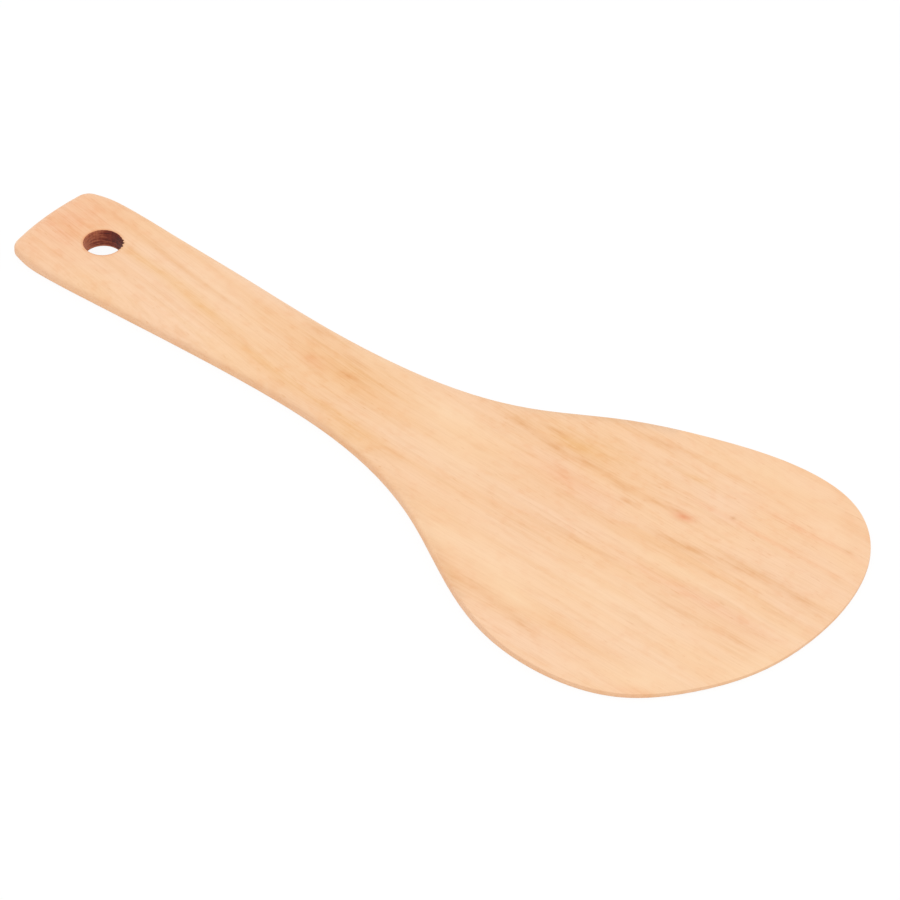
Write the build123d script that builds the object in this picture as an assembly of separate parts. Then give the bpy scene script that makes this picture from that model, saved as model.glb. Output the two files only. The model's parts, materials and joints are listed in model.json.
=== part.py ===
"""Rice paddle, carved from one board: rounded along its edges, thinned at the blade, drilled for hanging.

Millimetres. The paddle lies on its flat back, with the handle's end towards -X, the blade's tip towards +X
and +Z up. The origin is under the middle of its length and width. Left is +Y, right is -Y.
"""

from build123d import *
import math
import os

# Driving dimensions
length = 250.0
blade_width = 99.0  # across the blade where it is widest
butt_width = 32.7  # across the handle beside the hole
waist_width = 27.7  # across the handle where it is narrowest
board_thickness = 5.4
tip_thickness = 1.6
planed_length = 146.0  # from the tip back to where the thinning of the blade starts
edge_radius = 4.5  # of the round along the edge of the handle's top
side_height = 2.4  # from the back up to where that round starts
back_radius = 1.0  # of the round along the edge of the back
arris_radius = 0.3  # of the round along the blade's planed top
left_corner_radius = 4.8  # of the handle's corners in plan
right_corner_radius = 3.2
end_bow = 1.3  # how far the handle's end stands out beyond its corners
tip_lean = 2.99  # how far to the left of the middle the tip lies
end_lean = -0.6  # the same for the middle of the handle's end
hole_diameter = 10.0
hole_to_end = 20.3  # centre of the hole to the handle's end
hole_lean = -0.95  # how far to the left of the middle the hole lies
overrun = 6.0  # how far every cut runs past the wood

# Stations of the outline, as shares of the length from the handle's end
handle_station_shares = (0.03, 0.055, 0.12, 0.22, 0.34)
flank_station_shares = (0.43, 0.50, 0.58, 0.66, 0.74, 0.83)
nose_station_shares = (0.91, 0.96, 0.99)

# Half widths there: on the handle 0 is the waist and 1 the butt, on the flanks 0 is the waist and 1 the
# blade, and on the nose they are shares of the blade's half width
corner_rise_share = 0.08
handle_rise_shares = (0.8, 1.0, 0.8, 0.39, 0.0)
flank_rise_shares = (0.026, 0.105, 0.304, 0.628, 0.879, 1.0)
nose_width_shares = (0.921, 0.69, 0.376)

# The outline was sawn by eye, so its centre line wanders: its place at each station, as a share of the
# tip's lean
lean_shares = (-0.18, -0.17, -0.19, -0.18, -0.31, -0.4, -0.53, -0.59, -0.46, -0.58, -0.05, 0.62, 1.24, 1.25)

# The planed top of the blade: places along the planed length, and how much of the fall to the tip's
# thickness is reached there
planing_station_shares = (0.14, 0.31, 0.52, 0.76)
planing_fall_shares = (0.07, 0.34, 0.64, 0.83)
planing_start_slope_share = 0.015

round_depth = board_thickness - side_height  # of the round along the edge of the top
round_overhang = edge_radius - math.sqrt(edge_radius**2 - (edge_radius - round_depth)**2)
hole_x = hole_to_end - length / 2


def half_widths():
    """Half widths of the outline at its stations, from the handle's end to the nose."""
    waist = waist_width / 2
    butt = butt_width / 2
    blade = blade_width / 2
    handle = [waist + share * (butt - waist) for share in handle_rise_shares]
    flank = [waist + share * (blade - waist) for share in flank_rise_shares]
    nose = [share * blade for share in nose_width_shares]
    return handle + flank + nose


def edge_points(side):
    """Points of one long edge, from the handle's corner to the nose.

    The side is 1 on the left and -1 on the right.
    """
    corner_half = waist_width / 2 + corner_rise_share * (butt_width - waist_width) / 2
    points = [Vector(end_bow - length / 2, end_lean + side * corner_half)]
    stations = handle_station_shares + flank_station_shares + nose_station_shares
    for station, half, lean in zip(stations, half_widths(), lean_shares):
        points.append(Vector(length * station - length / 2, tip_lean * lean + side * half))
    return points


def outline(margin=0):
    """The outline in plan, or the line that runs outside it by the margin.

    It has a bowed end, and one flowing line along both edges and round the tip.
    """
    points = edge_points(1) + [Vector(length / 2, tip_lean)] + edge_points(-1)[::-1]
    start = (points[1] - points[0]).normalized()
    finish = (points[-1] - points[-2]).normalized()
    flow = Spline(*points, tangents=(start, finish), tangent_scalars=(1, 1))
    moved = [point + margin * (flow % point).rotate(Axis.Z, 90) for point in points]
    corners = (moved[0] - margin * start, moved[-1] + margin * finish)
    with BuildSketch() as sketch:
        with BuildLine():
            ThreePointArc(corners[1], (-length / 2 - margin, end_lean), corners[0])
            Spline(corners[0], *moved[1:-1], corners[1], tangents=(start, finish), tangent_scalars=(1, 1))
        make_face()
    return sketch.sketch


def column(height, margin=0):
    """Upright block of the height given, cut to outline, with the handle's corners rounded."""
    block = extrude(outline(margin), height)
    block = fillet(block.edges().filter_by(Axis.Z).sort_by(Axis.Y)[0], right_corner_radius + margin)
    return fillet(block.edges().filter_by(Axis.Z), left_corner_radius + margin)


def rounded_board():
    """The board with the edge of its top rounded over, wider than the outline.

    The round is larger than its own depth, so the outline cuts it off and leaves a flat side under it.
    """
    board = column(board_thickness, round_overhang)
    top = board.faces().filter_by(Axis.Z).sort_by(Axis.Z)[-1]
    return fillet(top.edges(), edge_radius)


def planed_block():
    """The wood left under the plane.

    Its top runs above the handle, falls along the blade and runs on past the tip.
    """
    start_x = length / 2 - planed_length
    fall = board_thickness - tip_thickness
    points = [Vector(start_x, board_thickness)]
    for station, share in zip(planing_station_shares, planing_fall_shares):
        points.append(Vector(start_x + planed_length * station, board_thickness - fall * share))
    points.append(Vector(length / 2, tip_thickness))
    start = Vector(1, -planing_start_slope_share)
    finish = (points[-1] - points[-2]).normalized()
    lead = points[0] - start * length
    run_out = points[-1] + finish * overrun
    with BuildSketch(Plane.XZ) as side:
        with BuildLine():
            Spline(*points, run_out, tangents=(start, finish), tangent_scalars=(1, 1))
            Polyline(run_out, (run_out.X, -2 * overrun), (lead.X, -2 * overrun), lead, points[0])
        make_face()
    return Pos(0, blade_width, 0) * extrude(side.sketch, 2 * blade_width)


def eased_blank():
    """The planed block cut to outline, with the edge of its back and its top arris rounded over."""
    blank = column(board_thickness + overrun) & planed_block()
    blank = fillet(blank.faces().sort_by(Axis.Z)[0].edges(), back_radius)
    top_edges = [edge for face in blank.faces() if face.normal_at().Z > 0.5 for edge in face.edges()]
    arris = ShapeList(top_edges).filter_by(Axis.Y, reverse=True)
    return fillet(arris, arris_radius)


def hanging_hole():
    """The drill's path through the handle."""
    drill = Cylinder(hole_diameter / 2, board_thickness + 2 * overrun)
    return Pos(hole_x, hole_lean, board_thickness / 2) * drill


def paddle():
    """The finished paddle."""
    return (rounded_board() & eased_blank()) - hanging_hole()


os.makedirs("parts", exist_ok=True)
export_step(paddle(), "parts/paddle.step")
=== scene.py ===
"""Looks of the rice paddle: one board of pale, fine-sanded wood with a friction-darkened hanging hole.

Metres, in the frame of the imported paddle: it lies on its flat back, +X from the handle's end to the blade's
tip, +Y to the left and +Z up.
"""

import json
import math

import bmesh
import bpy
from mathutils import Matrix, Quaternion, Vector, noise
from mathutils.bvhtree import BVHTree


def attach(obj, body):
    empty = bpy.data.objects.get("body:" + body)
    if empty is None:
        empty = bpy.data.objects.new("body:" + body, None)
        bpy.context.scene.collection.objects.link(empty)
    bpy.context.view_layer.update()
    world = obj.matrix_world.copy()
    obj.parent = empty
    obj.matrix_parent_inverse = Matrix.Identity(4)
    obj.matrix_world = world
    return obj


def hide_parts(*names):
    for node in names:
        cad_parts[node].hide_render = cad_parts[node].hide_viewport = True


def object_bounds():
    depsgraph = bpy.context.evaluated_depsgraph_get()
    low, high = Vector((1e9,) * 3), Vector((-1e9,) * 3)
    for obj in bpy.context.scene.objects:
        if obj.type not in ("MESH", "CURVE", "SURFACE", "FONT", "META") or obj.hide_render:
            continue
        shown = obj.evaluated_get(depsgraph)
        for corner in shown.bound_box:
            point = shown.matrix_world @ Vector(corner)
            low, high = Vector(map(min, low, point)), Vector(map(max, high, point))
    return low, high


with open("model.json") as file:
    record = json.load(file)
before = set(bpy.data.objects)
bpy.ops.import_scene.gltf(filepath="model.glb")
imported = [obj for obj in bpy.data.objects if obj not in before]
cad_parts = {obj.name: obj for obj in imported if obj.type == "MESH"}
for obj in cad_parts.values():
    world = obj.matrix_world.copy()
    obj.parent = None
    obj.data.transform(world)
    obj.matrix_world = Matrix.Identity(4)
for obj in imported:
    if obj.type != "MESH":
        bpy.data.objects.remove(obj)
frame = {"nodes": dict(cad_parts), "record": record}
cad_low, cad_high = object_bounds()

mm = 0.001

# The camera, fitted to the paddle's outline in the photograph
camera_azimuth = 40.54  # degrees round from looking along +Y
camera_elevation = 40.60
camera_roll = 0.09
camera_distance = 2.2
camera_lens = 353.1  # millimetres, on a sensor 36 mm wide
camera_aim = Vector((11.43, -0.25, 0)) * mm

# The hanging hole, as the record states it
hole = next(mount for mount in frame["record"]["mounts"] if mount["name"] == "hanging_hole")
hole_x, hole_y = hole["pos_m"][:2]
hole_radius = hole["dims"]["r_mm"] * mm

# The paddle's surface, with the rounds of the solid worked out so that they come out smooth
slice_height = 1.2 * mm  # where the outline is taken, on the flat side
weld = 0.001 * mm
edge_step = 0.8 * mm  # along the outline
near_reach = 2  # steps to each side over which the outline's own direction is taken
wide_reach = 9  # the same for the rows deep inside, so that they don't cross at the handle's corners
edge_depth = 4.4 * mm  # from the outline in to where the top and the back are flat
back_radius = 1.0 * mm  # of the round along the back's edge
back_steps = 7
side_height = 2.4 * mm  # from the back up to where the handle's round starts
side_steps = 3
top_radius = 4.5 * mm  # of the handle's round
arris_radius = 0.3 * mm  # of the blade's arris
top_steps = 14
top_step = 1 * mm  # between the places where the planed top's height is taken
top_line_y = 8 * mm  # those places lie beside the hole
top_line_start = 12 * mm  # from the handle's end
top_line_end = 1 * mm  # from the tip
smooth_rounds = 60  # that take the flats of the solid's mesh out of the planed top
face_step = 2.5 * mm  # of the grid on the top and the back
sliver = 0.3 * mm
long_ray = 0.3
hand_wave = 0.05 * mm  # how far hand sanding left the faces from flat
hand_wave_length = 24 * mm

# The hole's rim and wall
hole_sides = 144
rim_clearance = 7.2 * mm  # the grid is cleared this far from the hole's axis
rim_radii = (6.0 * mm, 5.35 * mm, 5.18 * mm)  # flat rings round the rim
lip_radius = 5.05 * mm
lip_drop = 0.07 * mm
wall_start = 0.2 * mm  # how far under the face the straight wall starts
ring_pitch = 0.32 * mm  # of the marks that the drill's turns left
ring_rows = 4  # rows of the mesh to each mark
ring_depth = 0.04 * mm
tear_angle = 38  # degrees from +X towards +Y, where the drill tore the rim's fibres
tear_spread = 30
tooth_angle = 13
tear_reach = 0.75 * mm
tear_depth = 1.8 * mm

# The wood's figure: the length, width and depth of each pattern, in millimetres
band_size = (150, 8, 16)  # growth rings, cut at a low angle
ring_lean = 1.6  # how far they shift across the board for each millimetre of depth
line_size = (60, 2.0, 5)
# Fibres are about 0.03 mm wide in birch; they are drawn at 0.4 mm, which is what the eye groups them into
fibre_size = (12, 0.4, 0.5)
fibre_relief = 0.05
fleck_size = (3.0, 0.5, 0.8)  # the rays, cut along
cloud_size = (34, 17, 17)
mottle_size = (4, 2.6, 3)
wander_size = (80, 18, 18)
wander_reach = 3.0
handle_slope = 0.155  # by which the fibres fall across the handle, nine degrees
level_from = -20  # where they come level, towards the blade
level_blend = 40
mark_depth = 6.0
board_top = 5.4  # height of the handle's top
tip_top = 1.6
planed_from = -15  # where the top starts to fall towards the tip, and by how much for each millimetre
planed_fall = 0.034
knot_place = (73.5, 15.8, 2.8)
knot_size = (5.5, 3.0, 5)
knot_tilt = 8  # degrees
swing_size = (20, 8, 8)  # of the wood round the knot whose fibres swing outwards
knot_swing = 0.7
dot_place = (83, 23.5, 2.5)
dot_size = (1.8, 1.4, 3)

# The wood round the hole. Each colour starts at the first distance from the hole's axis, in millimetres, and is
# full at the second.
rim_browning = (5.9, 5.0)
wall_burning = (5.03, 4.92)
tear_burning = (5.9, 5.6)
ragged_size = (0.5, 0.5, 0.5)
ragged_reach = 0.22
burn_ring_size = (3.0, 3.0, 0.34)
burn_streak_size = (0.5, 0.5, 2.5)
burn_lean = (0.16, 0.12, 0)  # the way in which the wall grows darker
low_rim_heights = (0.8, 0.3)  # the wall turns paler from the first height down to the second

# The light
paper_glow = 0.925  # with the lit paper under it this shows white
dome_strength = 0.97
white_strength = 1.0  # of the dome as the camera sees it
floor_half_width = 6
floor_drop = 0.05 * mm  # under the back, so that the two don't lie in one plane

soft = {"interpolation_type": "SMOOTHSTEP"}  # a MapRange node that starts and ends smoothly


def srgb(code):
    """A hex colour as the linear RGBA that a shader takes."""
    parts = [int(code[i:i + 2], 16) / 255 for i in (1, 3, 5)]
    return [part / 12.92 if part <= 0.04045 else ((part + 0.055) / 1.055) ** 2.4 for part in parts] + [1]


def add(tree, kind, *values, named=None, **settings):
    """Adds a node with its settings and links.

    Its sockets take the values in order, and the named ones by name or number. Each is a plain value, an
    output, or a node, which stands for its first output.
    """
    made = tree.nodes.new("ShaderNode" + kind)
    for name, value in settings.items():
        setattr(made, name, value)
    for key, value in [*enumerate(values), *(named or {}).items()]:
        if isinstance(value, bpy.types.Node):
            value = value.outputs[0]
        if isinstance(value, bpy.types.NodeSocket):
            tree.links.new(value, made.inputs[key])
        else:
            made.inputs[key].default_value = value
    return made


def bare_material(name):
    """A material with an empty node tree."""
    material = bpy.data.materials.new(name)
    material.use_nodes = True
    material.node_tree.nodes.clear()
    return material, material.node_tree


def seen_directly(tree):
    """1 for what the camera sees, straight or in a mirror or glass, and 0 for light that falls on things."""
    path = add(tree, "LightPath").outputs
    mirrored = add(tree, "Math", path["Is Camera Ray"], path["Is Glossy Ray"], operation="MAXIMUM")
    return add(tree, "Math", mirrored, path["Is Transmission Ray"], operation="MAXIMUM")


def stage_material():
    """Matt white paper: it takes the paddle's soft shadow, and shows white to the camera."""
    material, tree = bare_material("matt_white_paper")
    paper = add(tree, "BsdfDiffuse", srgb("#f7f7f7"))
    glow = add(tree, "Emission", srgb("#ffffff"), paper_glow)
    seen = add(tree, "AddShader", add(tree, "BsdfDiffuse", srgb("#525252")), glow)
    add(tree, "OutputMaterial", add(tree, "MixShader", seen_directly(tree), paper, seen))
    return material


def grain_noise(tree, point, size, detail=2.0):
    """Noise round 0.5, drawn out along the fibres to a length, width and depth in millimetres."""
    scaled = add(tree, "VectorMath", point, [1 / part for part in size], operation="MULTIPLY")
    return add(tree, "TexNoise", scaled, named={"Scale": 1.0, "Detail": detail, "Roughness": 0.55})


def patch(tree, point, centre, sizes, tilt=0.0):
    """1 at the centre of an ellipsoid in the wood, fading softly to 0 at its half sizes in millimetres."""
    placed = add(tree, "Mapping", point, centre, (0, 0, math.radians(tilt)), sizes, vector_type="TEXTURE")
    return add(tree, "TexGradient", placed, gradient_type="QUADRATIC_SPHERE").outputs["Fac"]


def tint(tree, colour, mask, code, strength=1.0):
    """The colour multiplied by a tint where the mask is 1."""
    amount = add(tree, "Math", mask, strength, operation="MULTIPLY", use_clamp=True)
    return add(tree, "Mix", amount, named={6: colour, 7: srgb(code)}, data_type="RGBA",
               blend_type="MULTIPLY").outputs[2]


# Marks in the wood, each (x, y, half length, half width, tilt in degrees, strength), in millimetres on the
# top face. Each is strongest in its middle and fades out at those half sizes. The golden ones are warmer
# growth bands, the brown ones mineral streaks, the blush ones rosier wood and the pale ones whiter sapwood.
golden_marks = (
    (-90, 0.3, 34, 4.0, -4, 0.9), (-68, -3.7, 26, 3.6, -9, 1.0), (-46, -9.2, 30, 3.0, -6, 0.6),
    (-18, -12.4, 36, 3.2, -3, 0.5), (37, 18.5, 12, 4.5, 6, 0.8), (41, 20, 40, 16, 8, 0.5),
    (67, 29, 20, 2.6, 3, 0.5), (-4, -16, 32, 6, 2, 0.5), (20, 16, 34, 16, 5, 0.3),
    (-24, 2, 52, 30, 0, 0.55), (44, -38, 20, 5, -30, 0.5),
)
brown_marks = (
    (22, 15.2, 11, 2.2, -4, 0.5), (33, 14.4, 9, 2.4, -5, 0.6), (44, 15.3, 10, 2.2, 3, 0.55),
    (55, 14.4, 9, 2.4, -3, 0.55), (65, 15.4, 9, 2.0, 9, 0.5), (71, 16.6, 5, 1.8, 14, 0.4),
    (29, 19, 8, 1.8, 5, 0.5), (60, 11, 7, 1.8, 2, 0.6), (77, 6.9, 12, 2.2, 3, 0.7),
    (84, 8.3, 9, 2.2, 9, 0.5), (97, 11, 22, 4.2, 8, 0.5), (114, 11.2, 18, 3.6, 2, 0.45),
    (53, 33.5, 13, 2.4, 4, 0.5), (96, -11.5, 16, 2.0, 2, 0.45), (113, -10.5, 13, 2.0, 0, 0.4),
    (54, -38, 22, 3.4, -6, 0.4), (68, -40.6, 12, 2.8, -10, 0.4), (-82, 4.5, 30, 1.8, -9, 0.4),
    (-40, 8, 8, 2.2, -6, 0.5), (-22, 0, 12, 1.6, -2, 0.5), (-24, 5.5, 9, 1.6, -2, 0.4),
    (112, 32.7, 4, 1.6, 0, 0.6), (87, -21, 20, 2.4, -2, 0.35), (60, -8, 22, 2.0, -1, 0.35),
)
blush_marks = (
    (42, 7.5, 24, 7.5, 2, 0.7), (92, -5, 50, 4, 2, 0.6), (102, 31.5, 38, 2.2, 2, 0.6),
    (92, 23, 46, 2, 2, 0.5), (104, -41.5, 12, 4, 30, 0.7), (-33, -1.5, 9, 4, -5, 0.7),
    (-116, 0, 26, 34, 0, 0.9), (38, -35, 50, 22, 0, 0.4), (100, 38, 50, 20, -20, 0.5),
)
pale_marks = (
    (85, 0, 60, 4.4, 2, 0.7), (62, -34.5, 14, 4, 0, 0.6), (16, -4, 40, 22, 0, 0.7),
    (80, -20, 60, 26, 0, 0.7), (-60, -12, 30, 5, -8, 0.5), (34, -30, 46, 24, 0, 0.8),
    (-70, 4, 50, 22, -6, 0.4), (5, 6, 24, 10, 0, 0.8), (-20, 10, 18, 7, 6, 0.7),
    (104, -36, 34, 16, 25, 0.9), (104, 36, 40, 16, -25, 0.8), (80, 42, 44, 12, 0, 0.7),
    (55, -32, 34, 14, -20, 0.6), (122, -12, 14, 34, 0, 0.7),
)


def top_height(x):
    """About how high the top face is there, in millimetres."""
    return min(board_top, max(tip_top, board_top - planed_fall * (x - planed_from)))


def marks(tree, point, table):
    """All the marks of one table as one mask."""
    total = 0.0
    for x, y, half_length, half_width, tilt, strength in table:
        one = patch(tree, point, (x, y, top_height(x)), (half_length, half_width, mark_depth), tilt)
        total = add(tree, "Math", one, strength, total, operation="MULTIPLY_ADD")
    return total


def along_the_grain(tree, point):
    """The point in the board's own grain, where the fibres run straight.

    On the board they fall across the handle by nine degrees, run level on the blade, swing round the knot and
    wander a little.
    """
    x, y, z = add(tree, "SeparateXYZ", point).outputs
    before_level = add(tree, "Math", x, -1.0, level_from, operation="MULTIPLY_ADD")
    fall = add(tree, "Math", before_level, 0.0, level_blend, operation="SMOOTH_MAX")
    across = add(tree, "Math", fall, -handle_slope, y, operation="MULTIPLY_ADD")
    knot = patch(tree, point, knot_place, swing_size, knot_tilt)
    beside_knot = add(tree, "Math", y, knot_place[1], operation="SUBTRACT")
    swing = add(tree, "Math", beside_knot, knot, operation="MULTIPLY")
    across = add(tree, "Math", swing, -knot_swing, across, operation="MULTIPLY_ADD")
    wander = grain_noise(tree, point, wander_size, 1.0)
    across = add(tree, "Math", wander, wander_reach, across, operation="MULTIPLY_ADD")
    return add(tree, "CombineXYZ", x, across, z)


def from_hole_axis(tree, point):
    """The point as seen from the foot of the hole's axis, and how far it is from that axis."""
    off = add(tree, "VectorMath", point, (hole_x / mm, hole_y / mm, 0), operation="SUBTRACT")
    flat = add(tree, "VectorMath", off, (1, 1, 0), operation="MULTIPLY")
    return off, flat, add(tree, "VectorMath", flat, operation="LENGTH").outputs["Value"]


def burnt_wall(tree, off, flat):
    """The wall's colour: wood browned by the drill's rubbing, in rings, and darkest on the blade's side.

    The shade is low where the wood is scorched and high where it is hardly browned.
    """
    rings = grain_noise(tree, off, burn_ring_size, 3.0)
    streaks = grain_noise(tree, off, burn_streak_size)
    side = add(tree, "VectorMath", flat, burn_lean, operation="DOT_PRODUCT").outputs["Value"]
    height = add(tree, "SeparateXYZ", off).outputs[2]
    low_rim = add(tree, "MapRange", height, *low_rim_heights, **soft)
    shade = add(tree, "Math", rings, 1.3, -0.35, operation="MULTIPLY_ADD")
    for pattern, share in ((streaks, 0.45), (side, -0.4), (low_rim, 0.42)):
        shade = add(tree, "Math", pattern, share, shade, operation="MULTIPLY_ADD")
    steps = add(tree, "ValToRGB", shade)
    stops = steps.color_ramp.elements
    stops[0].position, stops[0].color = 0.1, srgb("#4d120d")
    stops[1].position, stops[1].color = 0.95, srgb("#d2805a")
    middle = stops.new(0.5)
    middle.color = srgb("#8b3a27")
    return steps


def board_colour(tree, point, grain, lines, fibres):
    """The wood's colour away from the hole: its figure, and the marks that this board has."""
    # Growth rings cut at a low angle show as soft bands on the faces, and closer together on the sides
    x, across, depth = add(tree, "SeparateXYZ", grain).outputs
    leaning = add(tree, "Math", depth, ring_lean, across, operation="MULTIPLY_ADD")
    bands = grain_noise(tree, add(tree, "CombineXYZ", x, leaning, depth), band_size)
    flecks = grain_noise(tree, grain, fleck_size, 1.0)
    clouds = grain_noise(tree, point, cloud_size)
    mottle = grain_noise(tree, point, mottle_size)
    cloudy = add(tree, "MapRange", clouds, 0.3, 0.7, **soft)
    creams = {6: srgb("#fbcfa5"), 7: srgb("#fbd1ad")}
    colour = add(tree, "Mix", cloudy, named=creams, data_type="RGBA").outputs[2]

    # Each pattern, the values where its tint starts and is full, the tint and its strength
    figure = ((bands, 0.42, 0.72, "#fcf5ea", 1.0), (lines, 0.45, 0.75, "#fbf6ed", 0.8),
              (mottle, 0.45, 0.75, "#fdf7f2", 1.0), (fibres, 0.4, 0.75, "#f6f1e9", 0.65),
              (flecks, 0.66, 0.8, "#f3e6d6", 0.6))
    for pattern, start, full, code, strength in figure:
        colour = tint(tree, colour, add(tree, "MapRange", pattern, start, full, **soft), code, strength)

    # The marks are smudged and broken up by the fibres that they run in
    broken = add(tree, "Math", mottle, fibres, operation="ADD")
    for table, code in ((golden_marks, "#f7eacb"), (brown_marks, "#e9cda4"), (blush_marks, "#fbe6dc")):
        mask = add(tree, "Math", marks(tree, point, table), broken, operation="MULTIPLY")
        colour = tint(tree, colour, mask, code)
    pale = add(tree, "Math", marks(tree, point, pale_marks), 0.6, operation="MULTIPLY", use_clamp=True)
    colour = add(tree, "Mix", pale, named={6: colour, 7: srgb("#ffdcb4")}, data_type="RGBA").outputs[2]
    colour = tint(tree, colour, patch(tree, point, knot_place, knot_size, knot_tilt), "#f3c8b6")
    return tint(tree, colour, patch(tree, point, dot_place, dot_size), "#e9d8c6", 0.9)


def with_hole(tree, point, colour, flatness):
    """The colour with the hole's browned rim and burnt wall, which takes in the torn fibres of the rim."""
    off, flat, radius = from_hole_axis(tree, point)
    colour = tint(tree, colour, add(tree, "MapRange", radius, *rim_browning, **soft), "#f0d8c2", 0.7)
    rag = grain_noise(tree, off, ragged_size)
    edge = add(tree, "Math", rag, -ragged_reach, radius, operation="MULTIPLY_ADD")
    inside = add(tree, "MapRange", edge, *wall_burning, **soft)
    steep = add(tree, "MapRange", flatness, 0.9, 0.5, **soft)
    near_wall = add(tree, "MapRange", radius, *tear_burning, **soft)
    torn_wood = add(tree, "Math", steep, near_wall, operation="MULTIPLY")
    burnt = add(tree, "Math", inside, torn_wood, operation="MAXIMUM")
    wall = burnt_wall(tree, off, flat)
    return add(tree, "Mix", burnt, named={6: colour, 7: wall}, data_type="RGBA").outputs[2]


def wood_material():
    """Fine-sanded birch: an almost even cream wood, with faint fibres, soft bands and a few mineral streaks.

    The sanding leaves it matt, so the eye sees its colour and figure and hardly any shine.
    """
    material, tree = bare_material("fine_sanded_birch")
    board = add(tree, "TexCoord").outputs
    point = add(tree, "VectorMath", board["Object"], named={"Scale": 1 / mm}, operation="SCALE")
    grain = along_the_grain(tree, point)
    lines = grain_noise(tree, grain, line_size)
    fibres = grain_noise(tree, grain, fibre_size, 3.0)
    colour = board_colour(tree, point, grain, lines, fibres)

    # The steep sides are tinted darker: painted shade that deepens the band along the edges beyond what this
    # light gives, with a little of the darker grain that the sides show
    upward = add(tree, "SeparateXYZ", board["Normal"]).outputs[2]
    flatness = add(tree, "Math", upward, operation="ABSOLUTE")
    colour = tint(tree, colour, add(tree, "MapRange", flatness, 0.62, 0.3, **soft), "#f5efeb")
    colour = with_hole(tree, point, colour, flatness)

    rough = add(tree, "Math", fibres, 0.12, 0.5, operation="MULTIPLY_ADD")
    relief = add(tree, "Math", lines, 0.4, fibres, operation="MULTIPLY_ADD")
    bump = add(tree, "Bump", named={"Height": relief, "Strength": 0.3, "Distance": fibre_relief * mm})
    shader = add(tree, "BsdfPrincipled", named={"Base Color": colour, "Roughness": rough,
                                                "Specular IOR Level": 0.35, "Normal": bump})
    add(tree, "OutputMaterial", shader)
    return material


def solid_surface(node):
    """The CAD solid as one welded mesh to cast rays at, and its outline in plan as points on one slice."""
    bm = bmesh.new()
    bm.from_mesh(node.data)
    bmesh.ops.remove_doubles(bm, verts=bm.verts, dist=weld)
    surface = BVHTree.FromBMesh(bm)
    everything = bm.verts[:] + bm.edges[:] + bm.faces[:]
    bmesh.ops.bisect_plane(bm, geom=everything, dist=weld, plane_co=(0, 0, slice_height), plane_no=(0, 0, 1),
                           clear_inner=True, clear_outer=True)
    loops = []
    left = dict.fromkeys(bm.verts)  # ordered, so that the mesh comes out the same on every run
    while left:
        vert = next(iter(left))
        del left[vert]
        loop = [vert]
        while vert:
            neighbours = [edge.other_vert(vert) for edge in vert.link_edges]
            vert = next((other for other in neighbours if other in left), None)
            if vert:
                del left[vert]
                loop.append(vert)
        loops.append([Vector(vert.co) for vert in loop])
    bm.free()
    return surface, max(loops, key=len_round)


def len_round(loop):
    """How long a closed line of points is."""
    return sum((loop[i] - loop[i - 1]).length for i in range(len(loop)))


def evenly(loop):
    """The closed line as points at even steps, anticlockwise as seen from above.

    Each comes with its outward normal, and with one that turns more slowly round the corners.
    """
    area = sum(loop[i - 1].x * loop[i].y - loop[i].x * loop[i - 1].y for i in range(len(loop)))
    if area < 0:
        loop = loop[::-1]
    count = round(len_round(loop) / edge_step)
    step = len_round(loop) / count
    points = []
    travelled, target = 0.0, 0.0
    for i in range(len(loop)):
        start, end = loop[i - 1], loop[i]
        stretch = (end - start).length
        while target <= travelled + stretch and len(points) < count:
            points.append(start.lerp(end, (target - travelled) / stretch))
            target += step
        travelled += stretch
    placed = []
    for i, point in enumerate(points):
        normals = []
        for reach in (near_reach, wide_reach):
            ahead = points[(i + reach) % count] - points[i - reach]
            normals.append(Vector((ahead.y, -ahead.x, 0)).normalized())
        placed.append((point, *normals))
    return placed


def wave(place):
    """How deep the hand-sanded face lies under flat there, from 0 to the whole wave."""
    return hand_wave * (0.5 + 0.5 * noise.noise(Vector((place.x, place.y, 0)) / hand_wave_length))


def top_line(surface):
    """Heights of the top along the board, evenly spaced, with the flats of the solid's mesh smoothed out."""
    heights = []
    for k in range(int((cad_high[0] - cad_low[0] - top_line_start - top_line_end) / top_step) + 1):
        start = Vector((cad_low[0] + top_line_start + k * top_step, top_line_y, long_ray))
        heights.append(surface.ray_cast(start, Vector((0, 0, -1)))[0].z)
    for _ in range(smooth_rounds):
        between = [(before + 2 * here + after) / 4
                   for before, here, after in zip(heights, heights[1:], heights[2:])]
        heights = [heights[0], *between, heights[-1]]
    return heights


def top_at(heights, x):
    """The height of the top at one place along the board.

    The plane ran straight across, so it is the same for every y.
    """
    just_short = len(heights) - 1.001  # of the last height, so that there is one after it
    way = min(max((x - cad_low[0] - top_line_start) / top_step, 0), just_short)
    before = int(way)
    return heights[before] + (heights[before + 1] - heights[before]) * (way - before)


def numbered_ring(bm, count):
    """A ring of vertices, each numbered by its angle in a layer of the mesh.

    Gives the vertices, their edges and the layer.
    """
    number = bm.verts.layers.int.get("number") or bm.verts.layers.int.new("number")
    ring = bmesh.ops.create_circle(bm, segments=count, radius=1)["verts"]
    for vert in ring:
        vert[number] = round(math.atan2(vert.co.y, vert.co.x) / (2 * math.pi) * count) % count
    return ring, list(dict.fromkeys(edge for vert in ring for edge in vert.link_edges)), number


def next_ring(bm, edges):
    """Draws a new ring of faces out of a ring's edges; gives the vertices and edges of its free side."""
    made = bmesh.ops.extrude_edge_only(bm, edges=edges)["geom"]
    return ([item for item in made if isinstance(item, bmesh.types.BMVert)],
            [item for item in made if isinstance(item, bmesh.types.BMEdge)])


def rounded_off(height, start, radius, middle):
    """How far in a round lies at a height: it starts there, and its middle is at another height."""
    if height <= start:
        return 0.0
    return math.sqrt(radius**2 - (start - middle)**2) - math.sqrt(max(0, radius**2 - (height - middle)**2))


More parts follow.
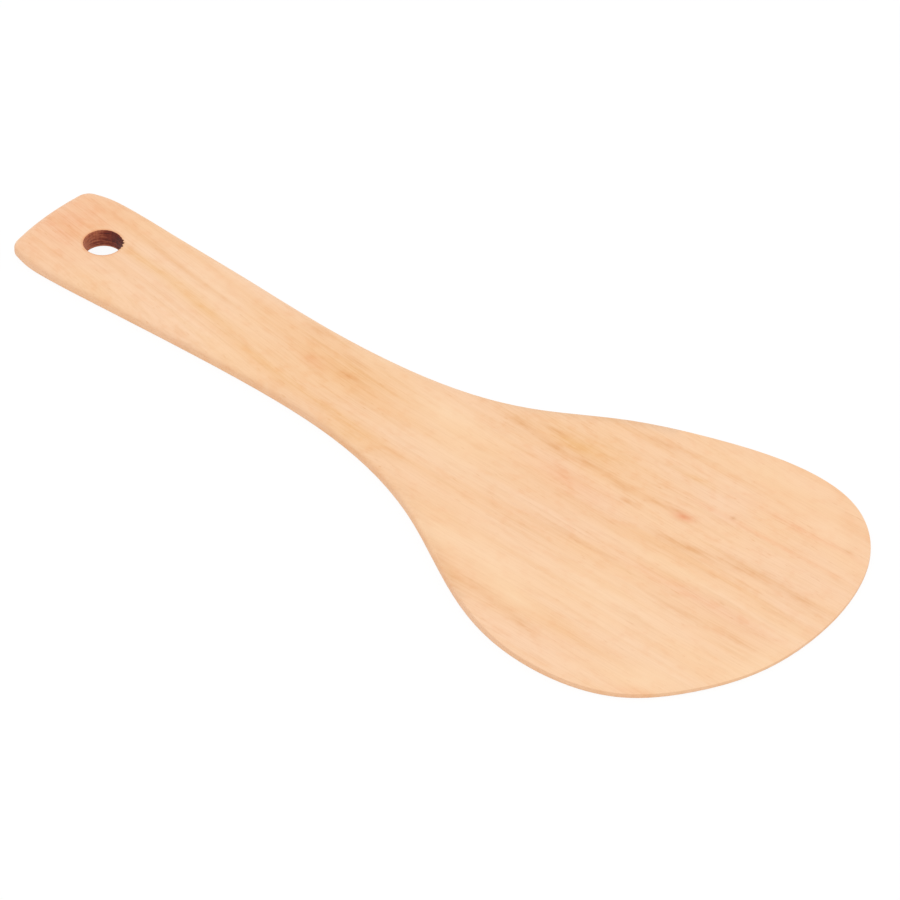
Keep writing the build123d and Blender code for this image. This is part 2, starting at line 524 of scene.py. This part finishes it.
def cross_section(top):
    """The edge where the top is that high, as (how far in, height) from the flat back up to the flat top."""
    section = [(edge_depth, 0.0)]
    for k in range(back_steps + 1):
        turn = math.pi / 2 * k / back_steps
        section.append((back_radius * (1 - math.sin(turn)), back_radius * (1 - math.cos(turn))))
    side_top = min(side_height, top - arris_radius)
    for k in range(1, side_steps):
        section.append((0.0, back_radius + (side_top - back_radius) * k / side_steps))
    for k in range(top_steps + 1):
        height = side_top + (top - side_top) * math.sin(math.pi / 2 * k / top_steps)
        handle_round = rounded_off(height, side_height, top_radius, cad_high[2] - top_radius)
        arris = rounded_off(height, top - arris_radius, arris_radius, top - arris_radius)
        section.append((max(handle_round, arris), height))
    return section + [(edge_depth, top)]


def edge_round(bm, heights, outline):
    """The whole edge, from the flat back up to the flat top, as rings of faces.

    Gives the border loops of the back and of the top.
    """
    sections = [cross_section(top_at(heights, point.x)) for point, *_ in outline]
    ring, edges, number = numbered_ring(bm, len(outline))
    back_border = edges
    for k in range(len(sections[0])):
        if k:
            ring, edges = next_ring(bm, edges)
        for vert in ring:
            point, normal, wide = outline[vert[number]]
            inset, height = sections[vert[number]][k]
            inner = point - normal.lerp(wide, inset / edge_depth) * inset
            vert.co = (inner.x, inner.y, height * top_at(heights, inner.x) / top_at(heights, point.x))
    return back_border, edges


def face_grid(bm, border, height):
    """Fills a border loop with a grid at the height that a function of x says, open round the hole.

    Gives the open loop there.
    """
    before = set(bm.verts)
    faces = bmesh.ops.edgeloop_fill(bm, edges=border)["faces"]
    for axis in (0, 1):
        low, high = cad_low[axis], cad_high[axis]
        for k in range(1, int((high - low) / face_step) + 1):
            place, way = Vector(), Vector()
            place[axis], way[axis] = low + k * face_step, 1
            parts = dict.fromkeys(faces)
            for face in faces:
                parts.update(dict.fromkeys(face.verts[:] + face.edges[:]))
            cut = bmesh.ops.bisect_plane(bm, geom=list(parts), dist=sliver, plane_co=place, plane_no=way)
            faces = [item for item in cut["geom"] if isinstance(item, bmesh.types.BMFace)]
    loop = clear_round_hole(bm, faces)
    grid = {face for face in faces if face.is_valid}
    for vert in bm.verts:
        if vert not in before and grid.issuperset(vert.link_faces):
            vert.co.z = height(vert.co.x)
    return loop


def from_axis(place):
    """How far a place is from the hole's axis."""
    return math.hypot(place.x - hole_x, place.y - hole_y)


def clear_round_hole(bm, faces):
    """Takes the grid's cells off round the hole, and gives the open loop that is left."""
    cells = [face for face in faces if min(from_axis(vert.co) for vert in face.verts) < rim_clearance]
    rim = dict.fromkeys(edge for face in cells for edge in face.edges)
    loop = [edge for edge in rim if len(set(edge.link_faces) - set(cells)) == 1]
    bmesh.ops.delete(bm, geom=cells, context="FACES")
    return loop


def wall_profile(depth):
    """Radius of the hole's wall that far under the top, with the marks of the drill's turns."""
    groove = 0.5 + 0.5 * math.sin(2 * math.pi * depth / ring_pitch)
    swell = 0.5 + abs(noise.noise(Vector((0, 0, depth / ring_pitch * 0.5))))
    return hole_radius + ring_depth * groove * swell


def wall_rows(top):
    """(radius, height) of each ring of the hole, from the top face round it down to the back."""
    flat = [(radius, top) for radius in rim_radii] + [(lip_radius, top - lip_drop)]
    count = round((top - 2 * wall_start) / ring_pitch * ring_rows)
    step = (top - 2 * wall_start) / count
    wall = [(wall_profile(wall_start + k * step), top - wall_start - k * step) for k in range(count + 1)]
    return flat + wall + [(radius, top - height) for radius, height in flat[::-1]]


def torn(angle, height, top):
    """How far the drill tore the fibres out of the rim there: in ragged teeth at one place under the top."""
    off = (math.degrees(angle) - tear_angle + 180) % 360 - 180
    if abs(off) > tear_spread or top - height > tear_depth:
        return 0.0
    teeth = 0.5 + 0.5 * math.cos(2 * math.pi * off / tooth_angle)
    teeth *= 0.7 + 0.6 * noise.noise(Vector((off / tooth_angle, 0, 0)))
    return tear_reach * teeth * (1 - (off / tear_spread) ** 2) * (1 - (top - height) / tear_depth)


def line_hole(bm, top_loop, back_loop, top):
    """The hole's rim, lip and ringed wall, joined to the two faces."""
    ring, edges, number = numbered_ring(bm, hole_sides)
    first = edges
    for k, (radius, height) in enumerate(wall_rows(top)):
        if k:
            ring, edges = next_ring(bm, edges)
        give = min(1, (rim_radii[0] - radius) / (rim_radii[0] - lip_radius))
        for vert in ring:
            angle = 2 * math.pi * vert[number] / hole_sides
            reach = radius + give * torn(angle, height, top)
            vert.co = (hole_x + reach * math.cos(angle), hole_y + reach * math.sin(angle), height)
    bmesh.ops.bridge_loops(bm, edges=top_loop + first)
    bmesh.ops.bridge_loops(bm, edges=back_loop + edges)


def finished_paddle(node, material):
    """The paddle as it shows: a smooth, closed mesh with the hole's rim and wall worked out."""
    surface, line = solid_surface(node)
    bm = bmesh.new()
    heights = top_line(surface)
    back_border, top_border = edge_round(bm, heights, evenly(line))
    back_loop = face_grid(bm, back_border, lambda x: 0.0)
    top_loop = face_grid(bm, top_border, lambda x: top_at(heights, x))
    line_hole(bm, top_loop, back_loop, top_at(heights, hole_x))
    for vert in bm.verts:  # the wave goes inwards from both faces
        vert.co.z += wave(vert.co) * (1 - 2 * vert.co.z / top_at(heights, vert.co.x))
    bmesh.ops.recalc_face_normals(bm, faces=bm.faces)
    for face in bm.faces:
        face.smooth = True
    mesh = bpy.data.meshes.new("paddle_board")
    bm.to_mesh(mesh)
    bm.free()
    mesh.materials.append(material)
    board = bpy.data.objects.new("paddle_board", mesh)
    bpy.context.scene.collection.objects.link(board)
    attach(board, "root")
    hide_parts("paddle")
    return board


def make_stage():
    """The floor, which the paddle's back lies on."""
    bm = bmesh.new()
    bmesh.ops.create_grid(bm, x_segments=1, y_segments=1, size=floor_half_width)
    bmesh.ops.translate(bm, vec=(0, 0, -floor_drop), verts=bm.verts)
    mesh = bpy.data.meshes.new("floor")
    bm.to_mesh(mesh)
    bm.free()
    floor = bpy.data.objects.new("floor", mesh)
    floor.data.materials.append(stage_material())
    bpy.context.scene.collection.objects.link(floor)


def make_world():
    """An even white studio dome."""
    world = bpy.data.worlds.new("studio")
    world.use_nodes = True
    tree = world.node_tree
    tree.nodes.clear()
    dome = add(tree, "Background", srgb("#ffffff"), dome_strength)
    white = add(tree, "Background", srgb("#ffffff"), white_strength)
    add(tree, "OutputWorld", add(tree, "MixShader", seen_directly(tree), dome, white))
    bpy.context.scene.world = world


def place(name, data, azimuth, elevation, distance, aim, roll=0):
    """Puts a lamp or camera at a distance from a point, looking at it."""
    across, up = math.radians(azimuth), math.radians(elevation)
    back = Vector((math.sin(across) * math.cos(up), -math.cos(across) * math.cos(up), math.sin(up)))
    placed = bpy.data.objects.new(name, data)
    placed.location = aim + back * distance
    placed.rotation_mode = "QUATERNION"
    placed.rotation_quaternion = (-back).to_track_quat("-Z", "Y") @ Quaternion((0, 0, 1), math.radians(roll))
    bpy.context.scene.collection.objects.link(placed)
    return placed


def make_lamp(name, azimuth, elevation, distance, size, power):
    """A square soft box that points at the paddle from a direction."""
    lamp = bpy.data.lights.new(name, "AREA")
    lamp.shape = "SQUARE"
    lamp.size = size
    lamp.energy = power
    place(name, lamp, azimuth, elevation, distance, Vector((0, 0, 0)))


def make_camera():
    """The camera at the photograph's viewing angle."""
    camera = bpy.data.cameras.new("camera")
    camera.lens = camera_lens
    camera.clip_end = 20
    bpy.context.scene.camera = place("camera", camera, camera_azimuth, camera_elevation, camera_distance,
                                     camera_aim, camera_roll)


make_stage()
make_world()
make_lamp("key", azimuth=60, elevation=62, distance=2.0, size=1.6, power=2)
make_camera()
bpy.context.scene.view_settings.view_transform = "Standard"

finished_paddle(frame["nodes"]["paddle"], wood_material())
